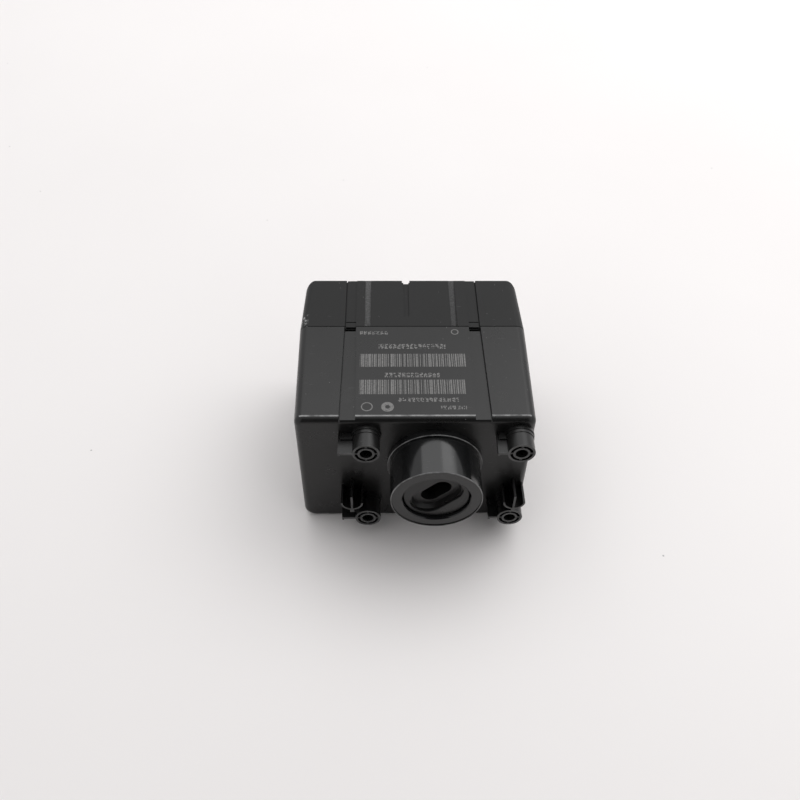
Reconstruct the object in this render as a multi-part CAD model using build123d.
"""Key-fob ignition switch module for a dashboard, in millimetres.

A two-piece moulded housing holds a round barrel.  A rotor with an oval key-fob socket
turns in the barrel and drives cams, switches, a detent and a lock bolt behind it.

Frame: X to the right, Y away from the user, Z up.  The origin is the bottom centre of
the whole module's bounding box.  The rotor turns about +Y, clockwise for the user.
"""

from build123d import *
import math
import os

# ---------------------------------------------------------------- driving dimensions
HEIGHT = 68.3
WIDTH_FRONT = 98.4
WIDTH_PARTING = 100.6
WIDTH_REAR = 98.1
FRONT_DEPTH = 54.6
DEPTH = 86.3
BARREL_REACH = 21.0
WALL = 2.2
FRONT_WALL = 2.4

TOP_RADIUS = 3.8
BOTTOM_RADIUS = 5.0
FRONT_RADIUS = 2.6
REAR_CORNER_RADIUS = 6.5
REAR_RADIUS = 0.7
PARTING_CHAMFER = 0.25

# Positions along Y, from the bounding box being centred on the origin.
FRONT_Y = (BARREL_REACH - DEPTH) / 2
PARTING_Y = FRONT_Y + FRONT_DEPTH
REAR_Y = FRONT_Y + DEPTH
RIM_Y = FRONT_Y - BARREL_REACH

# Barrel and rotor share this axis, which runs along Y.
AXIS_X = 8.7
AXIS_Z = 41.8
BARREL_R = 19.0
BARREL_BORE_R = 14.0
FLANGE_R = 20.2
FLANGE_T = 3.0
BARREL_TAIL_R = 17.4
BARREL_TAIL_Y = -10.0
BARREL_EDGE = 0.5
MOUTH_CHAMFER = 0.4
FLANGE_EDGE = 0.35
RIM_LIP_R = 18.3
RIM_LIP_DEPTH = 0.35
SHOULDER_T = 2.0
SHOULDER_R = 11.0
NUT_T = 3.0
NUT_RING = 4.0
NUT_NOTCH = (2.4, 4.0)

ROTOR_FACE_R = 13.7
ROTOR_LAND_R = 13.95
ROTOR_RECESS = 2.0
ROTOR_REAR_Y = BARREL_TAIL_Y - SHOULDER_T - 0.3
ROTOR_LAND_DEPTH = 5.0
ROTOR_EDGE = 0.5
SOCKET_EDGE = 0.35
SLIDER_HOLE_R = 2.1
SLIDER_STEM_R = 2.0
SLIDER_STEM_Y = (-25.5, -17.0)
SLIDER_HEAD_Y = (-27.0, -25.0)
SLIDER_PLAY = 0.6
SOCKET_LIP = (24.5, 14.5)
SOCKET_LIP_DEPTH = 1.2
FUNNEL = (23.2, 13.2)
FUNNEL_FLOOR = (21.5, 12.0)
FUNNEL_DEPTH = 3.0
POCKET = (14.6, 7.6)
POCKET_END_Y = -18.0
SOCKET_TURN = 45.0
ROTOR_FACE_Y = RIM_Y + ROTOR_RECESS
FUNNEL_END_Y = ROTOR_FACE_Y + FUNNEL_DEPTH

SHAFT_R = 5.0
SHAFT_END_Y = 16.0
SHAFT_FLANGE_R = 10.5
SHAFT_FLANGE_Y = -8.3
FLAT_Z = 4.2
RUNNING_GAP = 0.05
FIT_GAP = 0.03
CLIP_GROOVE_Y = (14.0, 15.0)
CLIP_GROOVE_DEPTH = 0.8
CLIP_R = 7.5
CLIP_MOUTH = 2.5
RETAINER_R = 13.0
RETAINER_Y = (-9.7, -8.5)
MAGNET_R = 4.0
MAGNET_T = 2.0

# Mounting bosses and the gusset plates beside them.
BOSS_X = (-20.0, 42.8)
BOSS_Z = (12.9, 58.7)
BOSS_REACH = 10.0
BOSS_R = 5.6
BOSS_WALL = 0.95
BOSS_CORE_R = 3.5
BOSS_HOLE_R = 2.55
BOSS_HOLE_DEPTH = 10.5
RIB_T = 0.9
RIB_STEP = 0.15
COLLAR_STEPS = [(0.55, 1.5), (0.25, 3.1)]
GUSSET_T = 1.2
GUSSET_REACH = (11.5, 9.5)
GUSSET_EDGE = 0.8
GUSSET_BEAD = 3.4

# Half-round wire cradles.
CRADLE_X = (-26.8, 43.7)
CRADLE_Z = 24.3
CRADLE_R = 4.8
CRADLE_WALL = 0.8
CRADLE_RIB_TOP = 28.6
CRADLE_TAB_BOTTOM = 17.7

# Guide grooves and snap joints, top and bottom.
SNAP_X = 27.7
SNAP_W = 4.9
SNAP_WINDOW = 2.3
GROOVE_DEPTH = 0.9
GROOVE_W_REAR = 5.2
GROOVE_W_FRONT = 6.8
TRACK_DEPTH = 0.6
SLIT_W = 0.45
SLIT_DEPTH = 0.8
TRACK_STEP = 0.5
TRACK_STEP_BACK = 3.5
LIP_REACH = 3.0
LIP_GAP = 0.2
LIP_T = 1.0
CATCH_T = 0.8

# Ramped channels and the centre key slot in the cover's top.
CHANNEL_X = [(-21.4, -18.7), (17.4, 20.1)]
CHANNEL_DEPTHS = (1.5, 0.3)
CHANNEL_HOLE = 1.2
SLOT_X = (-3.7, -1.3)
SLOT_FROM_PARTING = 6.7
NOTCH_X = (-4.3, -0.8)
NOTCH_T = 1.9
NOTCH_DEPTH = 2.4

# Inner layout.
CARRIER_Y = (-4.0, -2.0)
CARRIER_X = (-40.0, 46.0)
CARRIER_Z = (6.0, 62.0)
BUSH_R = 7.0
POST_XZ = [(-37.0, 58.0), (-37.0, 10.0), (43.0, 58.0), (43.0, 10.0)]
POST_R = 3.2
PILOT_R = 1.5
PILOT_DEPTH = 10.0
SHANK_R = 1.45
SHANK_LENGTH = 8.0
CLEAR_HOLE_R = 1.7
SCREW_HEAD = (2.9, 1.9)
SCREW_CROSS = (3.2, 0.7)
BOARD_Y = (26.0, 27.6)
BOARD_X = (-45.0, 45.0)
BOARD_Z = (5.0, 63.0)
BOARD_POST_XZ = [(-42.0, 59.0), (-42.0, 9.0), (42.0, 59.0), (42.0, 9.0)]

CAM_Y = (0.5, 4.5)
DETENT_Y = (5.0, 8.0)
LOCK_Y = (8.5, 12.5)
RING_R = 14.0
CAM_DRUM_R = 10.5
CAM_LOBE_R = 12.6
CAM_LOBES = [(100, 50), (215, 35)]
DETENT_ANGLES = (0, 30, 60, 90)
DETENT_NOTCH_R = 2.2
LOCK_RECESS_DEPTH = 4.2
LOCK_RECESS_ANGLES = (158, 180, 225, 270, 292)
RETURN_SPRING_Y = -6.2
LOCK_AXIS_Y = (LOCK_Y[0] + LOCK_Y[1]) / 2
LOCK_TIP_X = AXIS_X - RING_R - 1.2
NOSE_R = 1.8
NOSE_LENGTH = 5.0
BOLT_R = 3.0
BOLT_TAIL_R = 1.5
BOLT_TAIL_X = (-37.4, -30.5)
BOLT_CAP = (3.2, 1.0)
YOKE_X = (-32.0, -12.0)
YOKE_HALF = 9.0
YOKE_T = 1.6
SPOOL_X = (-30.2, -13.8)
SPOOL_R = 4.2
SPOOL_FLANGE = (7.9, 1.0)
WINDING_R = 7.4

# Two push switches beside the cam, and the detent above its ring.
SWITCH_REAR_Y = 5.0
BUTTON_Y = 2.5
BUTTON_R = 1.25
BUTTON_HOLE_R = 1.3
START_SWITCH_X = (24.0, 37.0)
START_SWITCH_Z = (34.0, 50.0)
RUN_SWITCH_X = (AXIS_X - 8.0, AXIS_X + 8.0)
RUN_SWITCH_Z = (13.0, 26.5)
BUTTON_OUT = 1.6
BUTTON_IN = 3.2
PLUNGER_R = 2.5
PLUNGER_Y = (DETENT_Y[0] + DETENT_Y[1]) / 2
PLUNGER_Z = (55.7, 61.0)
PLUNGER_NOSE = 1.2
GUIDE_Z = (57.0, 65.6)
GUIDE_BORE_TOP = 64.6
GUIDE_HALF = 5.0
GUIDE_REAR_Y = 11.0

# Boards and what stands on them: x range, z range, and how far each stands out.
SENSOR_HALF = (2.5, 2.0)
SENSOR_T = 1.4
RELAY_BOXES = [((-36.0, -17.0), (8.0, 24.0)), ((-13.0, 6.0), (7.0, 23.0))]
RELAY_T = 16.0
CAN_X = (23.0, 33.5)
CAN_Z = 54.0
CAN_R = 4.4
CAN_T = 12.0
CASE_EDGE = 0.6
CHIP_BOXES = [((-34.0, -20.0), (42.0, 56.0)), ((20.0, 27.0), (44.0, 54.0)), ((30.0, 34.0), (44.0, 54.0))]
CHIP_T = 1.6
RECEIVER_X = (-45.0, -43.8)
RECEIVER_Y = (-26.0, 18.0)
RECEIVER_Z = (8.0, 60.0)
SHIELD = (2.8, (-12.0, 12.0), (18.0, 42.0))
SHIELD_EDGE = 0.5
ANTENNA = (0.9, (-24.0, 15.0), (46.0, 58.0))
ANTENNA_WIRE = 1.0
HEADER = (4.6, 14.0, (26.0, 44.0))

# Transponder coil on its bobbin around the barrel's tail.
BOBBIN_Y = (-26.4, -16.4)
BOBBIN_R = 19.0
BOBBIN_FLANGE = (22.0, 1.2)
COIL_R = 21.2

# Connectors on the rear: name, centre x, centre z, width, height, pins across, pins up.
CONNECTORS = [
    ("main", -16.0, 22.0, 46.0, 21.0, 12, 3),
    ("column", 27.0, 22.0, 22.0, 21.0, 5, 3),
    ("antenna", 4.0, 52.0, 18.0, 12.0, 4, 2),
]
SHROUD_WALL = 1.6
SHROUD_FLOOR = 3.0
SHROUD_REAR_Y = REAR_Y - 0.5
SHROUD_GAP = 0.3
PIN_HALF = 0.32
PIN_PITCH_X = 3.2
PIN_PITCH_Z = 4.0
PIN_REACH = 7.0
PIN_GAP = 0.02
BOARD_GAP = 0.1

# How far a cutting shape runs past the surface that it opens, and a joined one sinks in.
PAST = 1.0
SUNK = 0.5


# ---------------------------------------------------------------- building helpers
def block(x, y, z):
    """Box between pairs of coordinates."""
    size = Box(x[1] - x[0], y[1] - y[0], z[1] - z[0])
    return Pos((x[0] + x[1]) / 2, (y[0] + y[1]) / 2, (z[0] + z[1]) / 2) * size


def rod(radius, y, x=AXIS_X, z=AXIS_Z):
    """Cylinder along Y between two y values."""
    return Pos(x, (y[0] + y[1]) / 2, z) * Rot(90, 0, 0) * Cylinder(radius, y[1] - y[0])


def ring(outer, inner, y, x=AXIS_X, z=AXIS_Z):
    """Tube along Y."""
    return rod(outer, y, x, z) - rod(inner, y, x, z)


def rod_x(radius, x, y, z):
    """Cylinder along X."""
    return Pos((x[0] + x[1]) / 2, y, z) * Rot(0, 90, 0) * Cylinder(radius, x[1] - x[0])


def rod_z(radius, z, x, y):
    """Cylinder along Z."""
    return Pos(x, y, (z[0] + z[1]) / 2) * Cylinder(radius, z[1] - z[0])


def facing(y, x=AXIS_X, z=AXIS_Z):
    """Sketch plane that faces the user: its x is X and its y is Z."""
    return Plane((x, y, z), x_dir=(1, 0, 0), z_dir=(0, -1, 0))


def prism(outline, z):
    """Plan outline raised between two heights."""
    face = make_face(Polyline(*outline, close=True))
    return Pos(0, 0, z[0]) * extrude(face, amount=z[1] - z[0], dir=(0, 0, 1))


def tapered(half_a, y_a, half_b, y_b):
    """Plan outline of a box whose sides taper from y_a to y_b."""
    return [(-half_a, y_a), (half_a, y_a), (half_b, y_b), (-half_b, y_b)]


def long_edges(shape, z):
    """Edges at height z that run along the sides."""
    return [e for e in shape.edges() if abs(e.center().Z - z) < 0.1 and abs(e.center().X) > 30]


def shell_body(half_a, y_a, half_b, y_b, inset):
    """Solid box of one housing half, inset all round, with its long edges rounded."""
    z = (inset, HEIGHT - inset)
    body = prism(tapered(half_a - inset, y_a, half_b - inset, y_b), z)
    body = fillet(long_edges(body, z[1]), TOP_RADIUS - inset)
    return fillet(long_edges(body, z[0]), BOTTOM_RADIUS - inset)


def coil_spring(radius, wire, length, turns, place):
    """Helical spring along local Z, centred on place."""
    path = Pos(0, 0, -length / 2) * Helix(length / turns, length, radius)
    section = Plane(origin=path @ 0, z_dir=path % 0) * Circle(wire / 2)
    return place * sweep(section, path=path, is_frenet=True)


def group(shapes):
    return Compound(children=list(shapes))


def beyond(span, by=PAST):
    """The same range, longer by a little at both ends."""
    return (span[0] - by, span[1] + by)


def around(centre, half):
    """Range of the given half width about a centre."""
    return (centre - half, centre + half)


def pan_screw(x, z, seat_y, side):
    """Pan-head screw under its seat: head on the given side of seat_y (+1 rear, -1 front)."""
    head_r, head_t = SCREW_HEAD
    head = rod(head_r, sorted((seat_y, seat_y + side * head_t)), x, z)
    shank = rod(SHANK_R, sorted((seat_y + side * SUNK, seat_y - side * SHANK_LENGTH)), x, z)
    arm, width = SCREW_CROSS
    recess = Box(arm, head_t, width) + Box(width, head_t, arm)
    return head + shank - Pos(x, seat_y + side * head_t * 1.3, z) * recess


def mirrored_z(shape):
    """The same feature on the underside."""
    return mirror(shape, about=Plane.XY.offset(HEIGHT / 2))


# ---------------------------------------------------------------- housing
def along_groove(side, inner_front, outer_front, inner_rear, outer_rear, depth):
    """Cut in the top from the front edge to the parting line, between two distances from SNAP_X."""
    centre = side * SNAP_X
    outline = [
        (centre + side * inner_front, FRONT_Y - PAST),
        (centre + side * outer_front, FRONT_Y - PAST),
        (centre + side * outer_rear, PARTING_Y + PAST),
        (centre + side * inner_rear, PARTING_Y + PAST),
    ]
    return prism(outline, (HEIGHT - depth, HEIGHT + PAST))


def guide_groove(side):
    """Shallow channel to a snap window, wider at the front, with a slit down its outer edge."""
    front = GROOVE_W_FRONT / 2
    rear = GROOVE_W_REAR / 2
    channel = along_groove(side, -front, front, -rear, rear, GROOVE_DEPTH)
    slit_depth = GROOVE_DEPTH + SLIT_DEPTH
    return channel + along_groove(side, front - SLIT_W, front, rear - SLIT_W, rear, slit_depth)


def snap_window(side):
    """Hole in the front housing's edge that a snap hook catches in."""
    y = (PARTING_Y - SNAP_WINDOW, PARTING_Y + PAST)
    return block(around(side * SNAP_X, SNAP_W / 2), y, beyond((HEIGHT - WALL, HEIGHT)))


def screw_boss(x, z):
    """Cored boss: two thin rings joined by four ribs, with a stepped collar at its root."""
    tip = FRONT_Y - BOSS_REACH
    span = (tip, FRONT_Y + SUNK)
    boss = ring(BOSS_R, BOSS_R - BOSS_WALL, span, x, z)
    boss += ring(BOSS_CORE_R, BOSS_HOLE_R, span, x, z)
    web = (BOSS_HOLE_R + BOSS_CORE_R) / 2
    for angle in range(0, 360, 90):
        rib = Pos((web + BOSS_R - BOSS_WALL / 2) / 2, 0, 0)
        rib *= Box(BOSS_R - BOSS_WALL / 2 - web, span[1] - span[0] - RIB_STEP, RIB_T)
        boss += Pos(x, (span[0] + span[1] + RIB_STEP) / 2, z) * Rot(0, angle, 0) * rib
    for proud, reach in COLLAR_STEPS:
        boss += ring(BOSS_R + proud, BOSS_R - BOSS_WALL / 2, (FRONT_Y - reach, FRONT_Y + SUNK), x, z)
    return boss


def gusset_plate(x, z, reach):
    """Level plate from a boss to its left, with a raised bead near its root."""
    left = x - reach
    inner = left + GUSSET_EDGE
    edge = x - BOSS_R + BOSS_WALL / 2
    top = z + GUSSET_T / 2
    y = (FRONT_Y - BOSS_REACH, FRONT_Y + SUNK)
    plate = block((left, edge), y, (z - GUSSET_T / 2, top))
    bead = block((inner, edge), (FRONT_Y - GUSSET_BEAD, y[1]), (z, top + GUSSET_EDGE))
    lip = block((left, inner), y, (z - GUSSET_T, top))
    return plate + bead + lip


def wire_cradle(x):
    """Half-round trough, open at the top, with a middle rib and a tab below it."""
    y = (FRONT_Y - BOSS_REACH, FRONT_Y + SUNK)
    reach = CRADLE_R + PAST
    trough = ring(CRADLE_R, CRADLE_R - CRADLE_WALL, y, x, CRADLE_Z)
    trough -= block(around(x, reach), y, (CRADLE_Z, CRADLE_Z + reach))
    floor = CRADLE_Z - CRADLE_R + CRADLE_WALL / 2
    trough += block(around(x, RIB_T / 2), y, (floor, CRADLE_RIB_TOP))
    return trough + block(around(x, RIB_T), y, (CRADLE_TAB_BOTTOM, floor))


def front_housing():
    half_front = WIDTH_FRONT / 2
    half_parting = WIDTH_PARTING / 2
    body = shell_body(half_front, FRONT_Y, half_parting, PARTING_Y, 0)
    body = fillet(body.edges().group_by(Axis.Y)[0], FRONT_RADIUS)
    body = chamfer(body.edges().group_by(Axis.Y)[-1], PARTING_CHAMFER)
    wall_rear = FRONT_Y + FRONT_WALL
    body -= shell_body(half_front, wall_rear, half_parting, PARTING_Y + PAST, WALL)
    body -= rod(BARREL_TAIL_R + SHROUD_GAP, beyond((FRONT_Y, wall_rear)))
    for side in (-1, 1):
        for cut in (guide_groove(side), snap_window(side)):
            body -= cut
            body -= mirrored_z(cut)
    for x, reach in zip(BOSS_X, GUSSET_REACH):
        for z in BOSS_Z:
            body += screw_boss(x, z)
            body += gusset_plate(x, z, reach)
            tip = FRONT_Y - BOSS_REACH
            body -= rod(BOSS_HOLE_R, (tip - PAST, tip + BOSS_HOLE_DEPTH), x, z)
    for x in CRADLE_X:
        body += wire_cradle(x)
    for x, z in POST_XZ:
        body += rod(POST_R, (wall_rear - SUNK, CARRIER_Y[0]), x, z)
        body -= rod(PILOT_R, (CARRIER_Y[0] - PILOT_DEPTH, CARRIER_Y[0] + PAST), x, z)
    return body


def cover_track(side):
    """Shallow track in the cover that carries on from a guide groove, with a step near its front."""
    x = around(side * SNAP_X, SNAP_W / 2)
    y = (PARTING_Y - PAST, REAR_Y + PAST)
    step = PARTING_Y + TRACK_STEP_BACK
    track = block(x, y, (HEIGHT - TRACK_DEPTH, HEIGHT + PAST))
    track += block(x, (step - TRACK_STEP, step), (HEIGHT - 2 * TRACK_DEPTH, HEIGHT))
    slit = around(side * (SNAP_X + SNAP_W / 2 - SLIT_W / 2), SLIT_W / 2)
    return track + block(slit, y, (HEIGHT - TRACK_DEPTH - SLIT_DEPTH, HEIGHT))


def cover_lip():
    """Thin rim on the cover that slides inside the front housing."""
    half = WIDTH_PARTING / 2
    gap = WALL + LIP_GAP
    front = PARTING_Y - LIP_REACH
    root = shell_body(half, PARTING_Y, half, PARTING_Y + LIP_T * 1.5, WALL - SUNK)
    rim = shell_body(half, front, half, PARTING_Y + LIP_T, gap)
    inside = shell_body(half, front - PAST, half, PARTING_Y + 2 * LIP_T, gap + LIP_T)
    return root + rim - inside


def ramped_channel(x):
    """Channel whose floor sinks towards a hole at its front end."""
    front = PARTING_Y + CHANNEL_HOLE
    deep, shallow = (HEIGHT - depth for depth in CHANNEL_DEPTHS)
    top = HEIGHT + PAST
    profile = [(front, deep), (REAR_Y + PAST, shallow), (REAR_Y + PAST, top), (front, top)]
    side = Plane((x[0], 0, 0), x_dir=(0, 1, 0), z_dir=(1, 0, 0)) * make_face(Polyline(*profile, close=True))
    ramp = extrude(side, amount=x[1] - x[0], dir=(1, 0, 0))
    return ramp + block(x, (PARTING_Y - PAST, front), beyond((HEIGHT - WALL, HEIGHT)))


def cover_grooves():
    """Channels and key slot in the top of the cover, and the notch in its rear edge."""
    slot_y = (PARTING_Y + SLOT_FROM_PARTING, REAR_Y - NOTCH_T)
    cut = block(SLOT_X, slot_y, (HEIGHT - GROOVE_DEPTH, HEIGHT + PAST))
    cut += block(NOTCH_X, (slot_y[1], REAR_Y + PAST), (HEIGHT - NOTCH_DEPTH, HEIGHT + PAST))
    for x in CHANNEL_X:
        cut += ramped_channel(x)
    return cut


def round_rear(body):
    """Small radius along the rear edges, large one on the two upright rear corners."""
    outline = tapered(WIDTH_PARTING / 2 + FIT_GAP, PARTING_Y, WIDTH_REAR / 2 + FIT_GAP, REAR_Y)
    plan = prism(outline, beyond((0, HEIGHT)))
    upright = plan.edges().filter_by(Axis.Z).group_by(Axis.Y)[-1]
    body = fillet(body.edges().group_by(Axis.Y)[-1], REAR_RADIUS)
    return body & fillet(upright, REAR_CORNER_RADIUS)


def open_snap(body, side):
    """Clears the lip behind a snap window and leaves a small catch in it."""
    x = around(side * SNAP_X, SNAP_W / 2)
    y = (PARTING_Y - LIP_REACH - PAST, PARTING_Y)
    gap = block(x, y, (HEIGHT - WALL - 2 * LIP_T, HEIGHT))
    catch_x = around(side * SNAP_X, SNAP_W / 2 - LIP_GAP)
    catch_y = (PARTING_Y - CATCH_T, PARTING_Y + SUNK)
    catch = block(catch_x, catch_y, around(HEIGHT - WALL, CATCH_T))
    return body - gap - mirrored_z(gap) + catch + mirrored_z(catch)


def rear_cover():
    half_parting = WIDTH_PARTING / 2
    half_rear = WIDTH_REAR / 2
    body = shell_body(half_parting, PARTING_Y, half_rear, REAR_Y, 0)
    body = chamfer(body.edges().group_by(Axis.Y)[0], PARTING_CHAMFER)
    body = round_rear(body)
    body -= shell_body(half_parting, PARTING_Y - PAST, half_rear, REAR_Y - WALL, WALL)
    body += cover_lip()
    body -= cover_grooves()
    for side in (-1, 1):
        body -= cover_track(side)
        body -= mirrored_z(cover_track(side))
        body = open_snap(body, side)
    for x, z in BOARD_POST_XZ:
        body += rod(POST_R, (BOARD_Y[1], REAR_Y - WALL + SUNK), x, z)
        body -= rod(PILOT_R, (BOARD_Y[1] - PAST, BOARD_Y[1] + PILOT_DEPTH - PAST), x, z)
    for _, x, z, width, height, _, _ in CONNECTORS:
        wide = around(x, width / 2 + SHROUD_GAP)
        high = around(z, height / 2 + SHROUD_GAP)
        body -= block(wide, beyond((REAR_Y - WALL, REAR_Y)), high)
    return body


# ---------------------------------------------------------------- barrel and rotor
def barrel():
    """Round sleeve with a lipped rim, a flange against the housing and a shouldered tail."""
    shoulder_y = BARREL_TAIL_Y - SHOULDER_T
    body = rod(BARREL_R, (RIM_Y, FRONT_Y))
    body = fillet(body.edges().group_by(Axis.Y)[0], BARREL_EDGE)
    flange = rod(FLANGE_R, (FRONT_Y - FLANGE_T, FRONT_Y))
    body += fillet(flange.edges().group_by(Axis.Y)[0], FLANGE_EDGE)
    body += rod(BARREL_TAIL_R, (FRONT_Y, BARREL_TAIL_Y))
    body -= rod(RIM_LIP_R, (RIM_Y - PAST, RIM_Y + RIM_LIP_DEPTH))
    body -= rod(BARREL_BORE_R, (RIM_Y - PAST, shoulder_y))
    body -= rod(SHOULDER_R, beyond((shoulder_y, BARREL_TAIL_Y)))
    bore = [e for e in body.edges().filter_by(GeomType.CIRCLE) if abs(e.radius - BARREL_BORE_R) < FIT_GAP]
    return chamfer(ShapeList(bore).sort_by(Axis.Y)[0], MOUTH_CHAMFER)


def barrel_nut():
    """Ring nut behind the front wall, with six grip notches."""
    y = (FRONT_Y + FRONT_WALL, FRONT_Y + FRONT_WALL + NUT_T)
    outer = BARREL_TAIL_R + NUT_RING
    body = ring(outer, BARREL_TAIL_R + RUNNING_GAP, y)
    wide, high = NUT_NOTCH
    for angle in range(0, 360, 60):
        notch = Rot(0, angle, 0) * Pos(outer, 0, 0) * Box(wide, 4 * NUT_T, high)
        body -= Pos(AXIS_X, y[1], AXIS_Z) * notch
    return body


def oval(size, y):
    """Stadium outline of the fob socket, turned to its rest angle."""
    return facing(y) * Rot(0, 0, SOCKET_TURN) * SlotOverall(*size)


def sunk(size, y_start, y_end):
    """Straight oval hole between two depths."""
    return extrude(oval(size, y_start), amount=y_end - y_start, dir=(0, 1, 0))


def fob_rotor():
    """Turning insert: lipped oval mouth, shallow funnel, then a deep pocket for the fob's end."""
    land_y = ROTOR_FACE_Y + ROTOR_LAND_DEPTH
    lip_y = ROTOR_FACE_Y + SOCKET_LIP_DEPTH
    body = rod(ROTOR_LAND_R, (land_y, ROTOR_REAR_Y))
    body += rod(ROTOR_FACE_R, (ROTOR_FACE_Y, land_y + PAST))
    body = fillet(body.edges().group_by(Axis.Y)[0], ROTOR_EDGE)
    body -= sunk(SOCKET_LIP, ROTOR_FACE_Y - PAST, lip_y)
    body -= loft([oval(FUNNEL, lip_y), oval(FUNNEL_FLOOR, FUNNEL_END_Y)])
    body -= sunk(POCKET, FUNNEL_END_Y - SUNK, POCKET_END_Y)
    body -= rod(SLIDER_HOLE_R, beyond((POCKET_END_Y, ROTOR_REAR_Y)))
    mouth = body.faces().filter_by(Plane.XZ).group_by(Axis.Y)[0][0].inner_wires()[0]
    return fillet(mouth.edges(), SOCKET_EDGE)


def fob_slider():
    """Sprung follower at the bottom of the socket that feels the fob."""
    head = sunk((POCKET[0] - SLIDER_PLAY, POCKET[1] - SLIDER_PLAY), *SLIDER_HEAD_Y)
    return head + rod(SLIDER_STEM_R, SLIDER_STEM_Y)


def fob_slider_spring():
    place = Pos(AXIS_X, -21.5, AXIS_Z) * Rot(90, 0, 0)
    return coil_spring(radius=2.75, wire=0.5, length=6.0, turns=5, place=place)


def rotor_shaft():
    """Flanged drive shaft with a flat along it, fixed behind the rotor."""
    body = rod(SHAFT_FLANGE_R, (ROTOR_REAR_Y, SHAFT_FLANGE_Y))
    body += rod(SHAFT_R, (SHAFT_FLANGE_Y - SUNK, SHAFT_END_Y))
    body -= ring(SHAFT_R + PAST, SHAFT_R - CLIP_GROOVE_DEPTH, CLIP_GROOVE_Y)
    flat_z = (AXIS_Z + FLAT_Z, AXIS_Z + SHAFT_R + PAST)
    return body - block(around(AXIS_X, SHAFT_R + PAST), (CAM_Y[0], LOCK_Y[1]), flat_z)


def keyed_bore(y):
    """D-shaped hole that fits the shaft's flat."""
    bore = rod(SHAFT_R + FIT_GAP, beyond(y))
    flat_z = (AXIS_Z + FLAT_Z + FIT_GAP, AXIS_Z + SHAFT_R + 2 * PAST)
    return bore - block(around(AXIS_X, SHAFT_R + PAST), beyond(y, 2 * PAST), flat_z)


def rotor_retainer():
    """Washer on the shaft's flange that keeps the rotor in the barrel."""
    return ring(RETAINER_R, SHAFT_FLANGE_R + FIT_GAP, RETAINER_Y)


def switch_cam():
    """Drum with two raised lobes that work the switches."""
    body = rod(CAM_DRUM_R, CAM_Y)
    face = Plane((AXIS_X, CAM_Y[0], AXIS_Z), x_dir=(1, 0, 0), z_dir=(0, 1, 0))
    for start, sweep_angle in CAM_LOBES:
        arc = CenterArc((0, 0), CAM_LOBE_R, start, sweep_angle)
        wedge = make_face([arc, Line((0, 0), arc @ 0), Line(arc @ 1, (0, 0))])
        body += extrude(face * wedge, amount=CAM_Y[1] - CAM_Y[0])
    return body - keyed_bore(CAM_Y)


def detent_ring():
    """Ring with a shallow notch for each position of the rotor."""
    body = rod(RING_R - SUNK, DETENT_Y)
    notch = Pos(0, 0, RING_R + SUNK) * Rot(90, 0, 0) * Cylinder(DETENT_NOTCH_R, 2 * RING_R)
    for angle in DETENT_ANGLES:
        body -= Pos(AXIS_X, DETENT_Y[0], AXIS_Z) * Rot(0, -angle, 0) * notch
    return body - keyed_bore(DETENT_Y)


def lock_ring():
    """Ring with an arc recess, deep enough for the lock bolt, over the rotor's whole turn."""
    body = rod(RING_R, LOCK_Y)
    recess = ring(RING_R + PAST, RING_R - LOCK_RECESS_DEPTH, beyond(LOCK_Y))
    outline = [(0, 0)]
    for angle in LOCK_RECESS_ANGLES:
        turn = math.radians(angle)
        outline.append((2 * RING_R * math.cos(turn), 2 * RING_R * math.sin(turn)))
    rear = LOCK_Y[1] + PAST
    wedge = facing(rear) * make_face(Polyline(*outline, close=True))
    body -= recess & extrude(wedge, amount=rear - LOCK_Y[0] + PAST, dir=(0, -1, 0))
    return body - keyed_bore(LOCK_Y)


def retaining_clip():
    """Open clip in the groove near the end of the shaft."""
    y = beyond(CLIP_GROOVE_Y, -0.1)
    body = ring(CLIP_R, SHAFT_R - CLIP_GROOVE_DEPTH + RUNNING_GAP, y)
    return body - block(around(AXIS_X, CLIP_MOUTH), beyond(y), (AXIS_Z - CLIP_R - PAST, AXIS_Z))


def position_magnet():
    return rod(MAGNET_R, (SHAFT_END_Y, SHAFT_END_Y + MAGNET_T))


# ---------------------------------------------------------------- switch carrier
def switch_carrier():
    """Plate on four posts that holds the shaft's bush, the switches and the solenoid."""
    body = block(CARRIER_X, CARRIER_Y, CARRIER_Z)
    body -= rod(BUSH_R + FIT_GAP, beyond(CARRIER_Y))
    for x, z in POST_XZ:
        body -= rod(CLEAR_HOLE_R, beyond(CARRIER_Y), x, z)
    return body


def shaft_bush():
    return ring(BUSH_R, SHAFT_R + RUNNING_GAP, (CARRIER_Y[0], CARRIER_Y[1] + 1.0))


def carrier_screws():
    """Screws through the carrier into the front housing's posts, heads towards the rear."""
    return group(pan_screw(x, z, CARRIER_Y[1], 1) for x, z in POST_XZ)


def board_screws():
    """Screws through the main board into the cover's posts, heads towards the front."""
    return group(pan_screw(x, z, BOARD_Y[0], -1) for x, z in BOARD_POST_XZ)


def return_spring():
    """Coil around the shaft, between its flange and the carrier, that undoes the start turn."""
    place = Pos(AXIS_X, RETURN_SPRING_Y, AXIS_Z) * Rot(90, 0, 0)
    return coil_spring(radius=7.0, wire=0.9, length=3.0, turns=2.5, place=place)


def start_switch_body():
    body = block(START_SWITCH_X, (CARRIER_Y[1], SWITCH_REAR_Y), START_SWITCH_Z)
    mouth = START_SWITCH_X[0]
    return body - rod_x(BUTTON_HOLE_R, (mouth - PAST, mouth + BUTTON_IN + PAST), BUTTON_Y, AXIS_Z)


def start_switch_button():
    mouth = START_SWITCH_X[0]
    return rod_x(BUTTON_R, (mouth - BUTTON_OUT, mouth + BUTTON_IN), BUTTON_Y, AXIS_Z)


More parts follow.
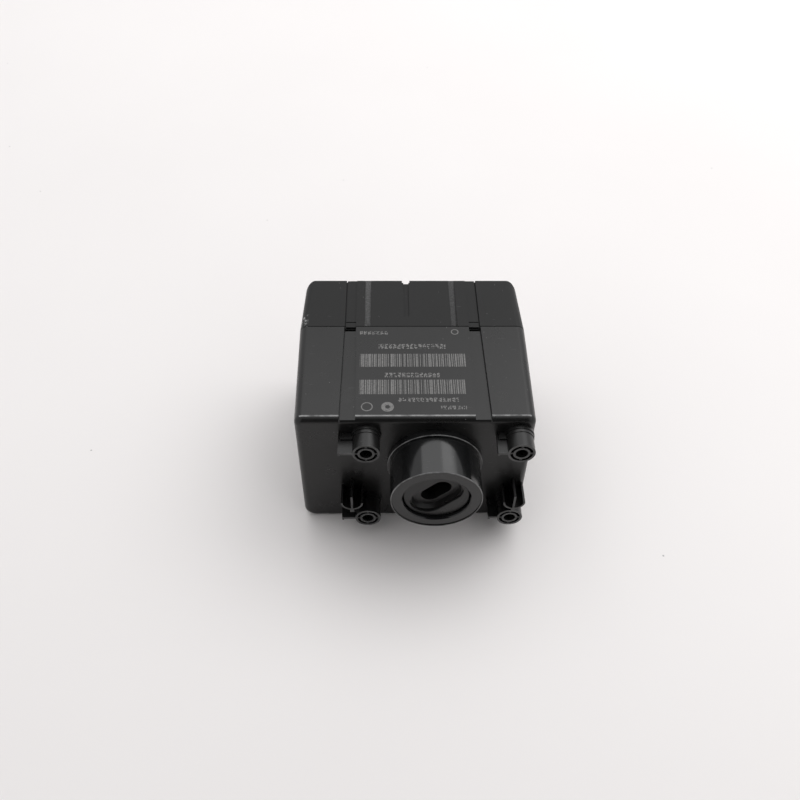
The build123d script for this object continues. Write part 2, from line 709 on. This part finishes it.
def run_switch_body():
    body = block(RUN_SWITCH_X, (CARRIER_Y[1], SWITCH_REAR_Y), RUN_SWITCH_Z)
    mouth = RUN_SWITCH_Z[1]
    return body - rod_z(BUTTON_HOLE_R, (mouth - BUTTON_IN - PAST, mouth + PAST), AXIS_X, BUTTON_Y)


def run_switch_button():
    mouth = RUN_SWITCH_Z[1]
    return rod_z(BUTTON_R, (mouth - BUTTON_IN, mouth + BUTTON_OUT), AXIS_X, BUTTON_Y)


def detent_guide():
    body = block(around(AXIS_X, GUIDE_HALF), (CARRIER_Y[1], GUIDE_REAR_Y), GUIDE_Z)
    return body - rod_z(PLUNGER_R + RUNNING_GAP, (GUIDE_Z[0] - PAST, GUIDE_BORE_TOP), AXIS_X, PLUNGER_Y)


def detent_plunger():
    """Round-nosed plunger that rides over the detent ring."""
    body = rod_z(PLUNGER_R, PLUNGER_Z, AXIS_X, PLUNGER_Y)
    return chamfer(body.edges().group_by(Axis.Z)[0], PLUNGER_NOSE)


def detent_spring():
    place = Pos(AXIS_X, PLUNGER_Y, 62.8)
    return coil_spring(radius=1.7, wire=0.45, length=3.0, turns=4, place=place)


def solenoid_yoke():
    """Folded steel frame around the lock coil."""
    y = (CARRIER_Y[1], LOCK_AXIS_Y + YOKE_HALF)
    z = around(AXIS_Z, YOKE_HALF)
    body = block(YOKE_X, y, z)
    body -= block(beyond(YOKE_X, -YOKE_T), (y[0] + YOKE_T, y[1] + PAST), beyond(z))
    return body - rod_x(BOLT_R + 0.3, beyond(YOKE_X), LOCK_AXIS_Y, AXIS_Z)


def solenoid_bobbin():
    flange_r, flange_t = SPOOL_FLANGE
    left, right = SPOOL_X
    body = rod_x(SPOOL_R, SPOOL_X, LOCK_AXIS_Y, AXIS_Z)
    body += rod_x(flange_r, (left, left + flange_t), LOCK_AXIS_Y, AXIS_Z)
    body += rod_x(flange_r, (right - flange_t, right), LOCK_AXIS_Y, AXIS_Z)
    return body - rod_x(BOLT_R + RUNNING_GAP, beyond(SPOOL_X), LOCK_AXIS_Y, AXIS_Z)


def solenoid_coil():
    x = beyond(SPOOL_X, -SPOOL_FLANGE[1] - 0.1)
    core = rod_x(SPOOL_R + 0.1, beyond(x), LOCK_AXIS_Y, AXIS_Z)
    return rod_x(WINDING_R, x, LOCK_AXIS_Y, AXIS_Z) - core


def lock_bolt():
    """Solenoid plunger whose nose drops into the lock ring; its tail carries the spring cap."""
    step_x = LOCK_TIP_X - NOSE_LENGTH
    cap_r, cap_t = BOLT_CAP
    body = rod_x(BOLT_R, (BOLT_TAIL_X[1] - SUNK, step_x), LOCK_AXIS_Y, AXIS_Z)
    body += rod_x(NOSE_R, (step_x - SUNK, LOCK_TIP_X), LOCK_AXIS_Y, AXIS_Z)
    body += rod_x(BOLT_TAIL_R, BOLT_TAIL_X, LOCK_AXIS_Y, AXIS_Z)
    return body + rod_x(cap_r, around(BOLT_TAIL_X[0] - cap_t / 4, cap_t / 2), LOCK_AXIS_Y, AXIS_Z)


def lock_spring():
    place = Pos(-34.7, LOCK_AXIS_Y, AXIS_Z) * Rot(0, 90, 0)
    return coil_spring(radius=2.4, wire=0.5, length=4.2, turns=4, place=place)


# ---------------------------------------------------------------- electronics
def main_board():
    body = block(BOARD_X, BOARD_Y, BOARD_Z)
    for x, z in BOARD_POST_XZ:
        body -= rod(CLEAR_HOLE_R, beyond(BOARD_Y), x, z)
    return body


def before_board(thickness):
    """Depth range of something on the board's front side."""
    return (BOARD_Y[0] - thickness, BOARD_Y[0])


def position_sensor():
    half_x, half_z = SENSOR_HALF
    return block(around(AXIS_X, half_x), before_board(SENSOR_T), around(AXIS_Z, half_z))


def relays():
    cans = [block(x, before_board(RELAY_T), z) for x, z in RELAY_BOXES]
    return group(fillet(can.edges().group_by(Axis.Y)[0], CASE_EDGE) for can in cans)


def capacitors():
    cans = [rod(CAN_R, before_board(CAN_T), x, CAN_Z) for x in CAN_X]
    return group(fillet(can.edges().group_by(Axis.Y)[0], CASE_EDGE) for can in cans)


def processor_chips():
    return group(block(x, (BOARD_Y[1], BOARD_Y[1] + CHIP_T), z) for x, z in CHIP_BOXES)


def receiver_board():
    """Small board on edge along the left wall, for the fob's radio link."""
    return block(RECEIVER_X, RECEIVER_Y, RECEIVER_Z)


def on_receiver(thickness):
    """Range along X of something on the receiver board's inner side."""
    return (RECEIVER_X[1], RECEIVER_X[1] + thickness)


def receiver_shield():
    thickness, y, z = SHIELD
    can = block(on_receiver(thickness), y, z)
    return fillet(can.edges().group_by(Axis.X)[-1], SHIELD_EDGE)


def receiver_antenna():
    """Rectangular wire loop on the receiver board."""
    thickness, y, z = ANTENNA
    x = on_receiver(thickness)
    return block(x, y, z) - block(beyond(x), beyond(y, -ANTENNA_WIRE), beyond(z, -ANTENNA_WIRE))


def board_header():
    """Angled header between the receiver board and the main board."""
    thickness, front, z = HEADER
    return block(on_receiver(thickness), (front, BOARD_Y[0]), z)


def coil_bobbin():
    """Spool around the barrel's tail for the fob's transponder coil."""
    flange_r, flange_t = BOBBIN_FLANGE
    front, rear = BOBBIN_Y
    body = ring(BOBBIN_R, BARREL_TAIL_R + RUNNING_GAP, BOBBIN_Y)
    body += ring(flange_r, BOBBIN_R - SUNK, (front, front + flange_t))
    return body + ring(flange_r, BOBBIN_R - SUNK, (rear - flange_t, rear))


def transponder_coil():
    return ring(COIL_R, BOBBIN_R + RUNNING_GAP, beyond(BOBBIN_Y, -BOBBIN_FLANGE[1] - 0.1))


def connector_shroud(x, z, width, height):
    """Box open to the rear, with a solid floor over the board."""
    y = (BOARD_Y[1] + BOARD_GAP, SHROUD_REAR_Y)
    body = block(around(x, width / 2), y, around(z, height / 2))
    wide = around(x, width / 2 - SHROUD_WALL)
    high = around(z, height / 2 - SHROUD_WALL)
    return body - block(wide, (y[0] + SHROUD_FLOOR, y[1] + PAST), high)


def connector_holes(x, z, across, up):
    """Square pin positions of one connector."""
    places = []
    for i in range(across):
        for j in range(up):
            dx = (i - (across - 1) / 2) * PIN_PITCH_X
            dz = (j - (up - 1) / 2) * PIN_PITCH_Z
            places.append((x + dx, z + dz))
    return places


def connector_pair(x, z, width, height, across, up):
    """Shroud drilled for its pins, and the pins as one group."""
    shroud = connector_shroud(x, z, width, height)
    floor = BOARD_Y[1] + BOARD_GAP + SHROUD_FLOOR
    pin_y = (BOARD_Y[1] + BOARD_GAP / 2, floor + PIN_REACH)
    pins = []
    for px, pz in connector_holes(x, z, across, up):
        pins.append(block(around(px, PIN_HALF), pin_y, around(pz, PIN_HALF)))
        hole = PIN_HALF + PIN_GAP
        shroud -= block(around(px, hole), (BOARD_Y[1], floor + PAST), around(pz, hole))
    return shroud, group(pins)


def all_nodes():
    makers = [
        front_housing, rear_cover, barrel, barrel_nut, fob_rotor, fob_slider, fob_slider_spring,
        rotor_shaft, rotor_retainer, switch_cam, detent_ring, lock_ring, retaining_clip,
        position_magnet, switch_carrier, shaft_bush, carrier_screws, board_screws, return_spring,
        start_switch_body, start_switch_button, run_switch_body, run_switch_button, detent_guide,
        detent_plunger, detent_spring, solenoid_yoke, solenoid_bobbin, solenoid_coil, lock_bolt,
        lock_spring, main_board, position_sensor, relays, capacitors, processor_chips,
        receiver_board, receiver_shield, receiver_antenna, board_header, coil_bobbin,
        transponder_coil,
    ]
    nodes = {make.__name__: make() for make in makers}
    for name, *layout in CONNECTORS:
        shroud, pins = connector_pair(*layout)
        nodes[name + "_connector"] = shroud
        nodes[name + "_connector_pins"] = pins
    return nodes


os.makedirs("parts", exist_ok=True)
for node, shape in all_nodes().items():
    export_step(shape, f"parts/{node}.step")
    print(node, round(shape.volume, 1))
